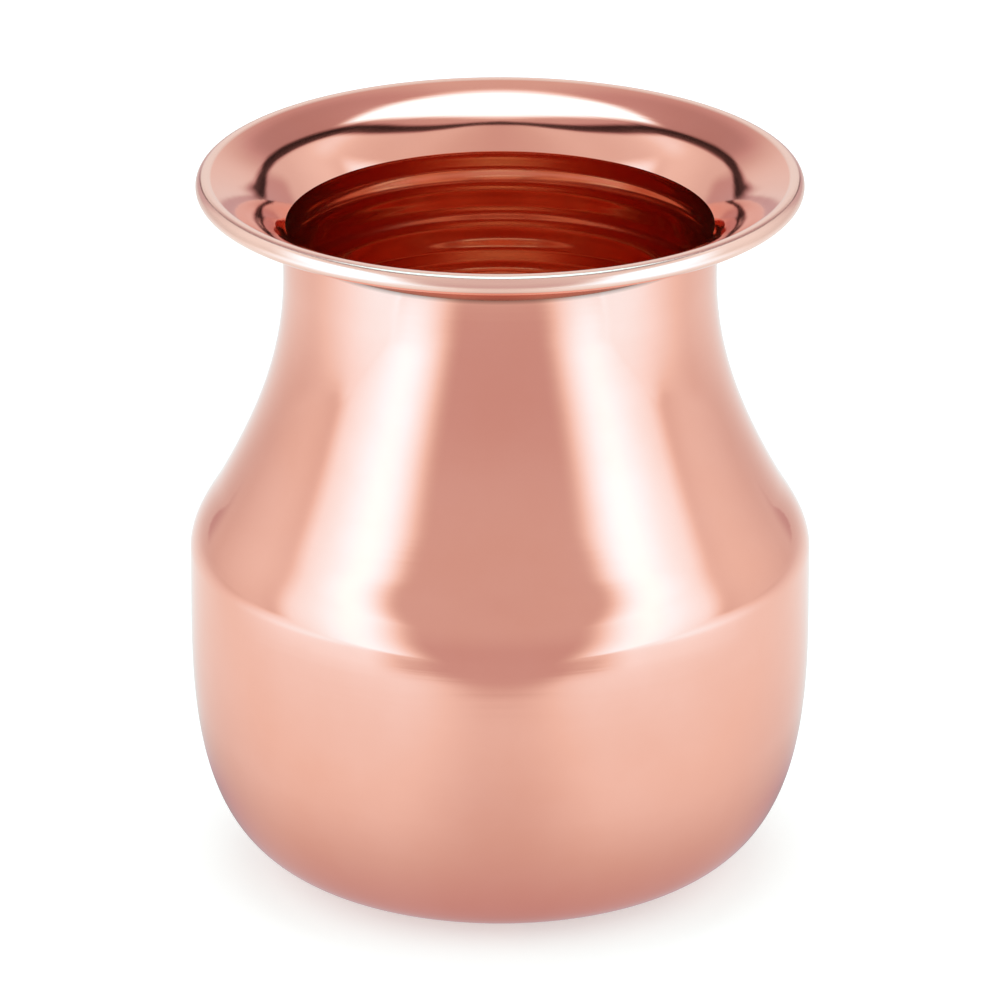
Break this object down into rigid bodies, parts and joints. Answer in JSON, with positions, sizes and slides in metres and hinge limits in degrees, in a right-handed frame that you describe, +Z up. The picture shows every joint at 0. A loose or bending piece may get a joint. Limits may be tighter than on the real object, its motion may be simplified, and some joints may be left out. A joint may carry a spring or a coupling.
{
  "type": "water pot",
  "caption": "Round-bellied copper lota with a wide neck, flared lip and rolled rim, spun from thin sheet and open at the top.",
  "frame": {"origin": "centre of the standing ring, on the surface the pot stands on", "axes": "+Z up along the pot's axis of revolution, through the mouth"},
  "size_m": [0.088, 0.088, 0.1022],
  "materials": {
    "polished_copper": "mirror-polished copper sheet",
    "copper_wire": "drawn copper wire, dull",
    "brazing_brass": "brazing filler, smooth"
  },
  "bodies": {
    "root": {"lower_bowl": "polished_copper", "upper_shell": "polished_copper", "rim_wire": "copper_wire", "seam_braze": "brazing_brass"}
  },
  "joints": []
}
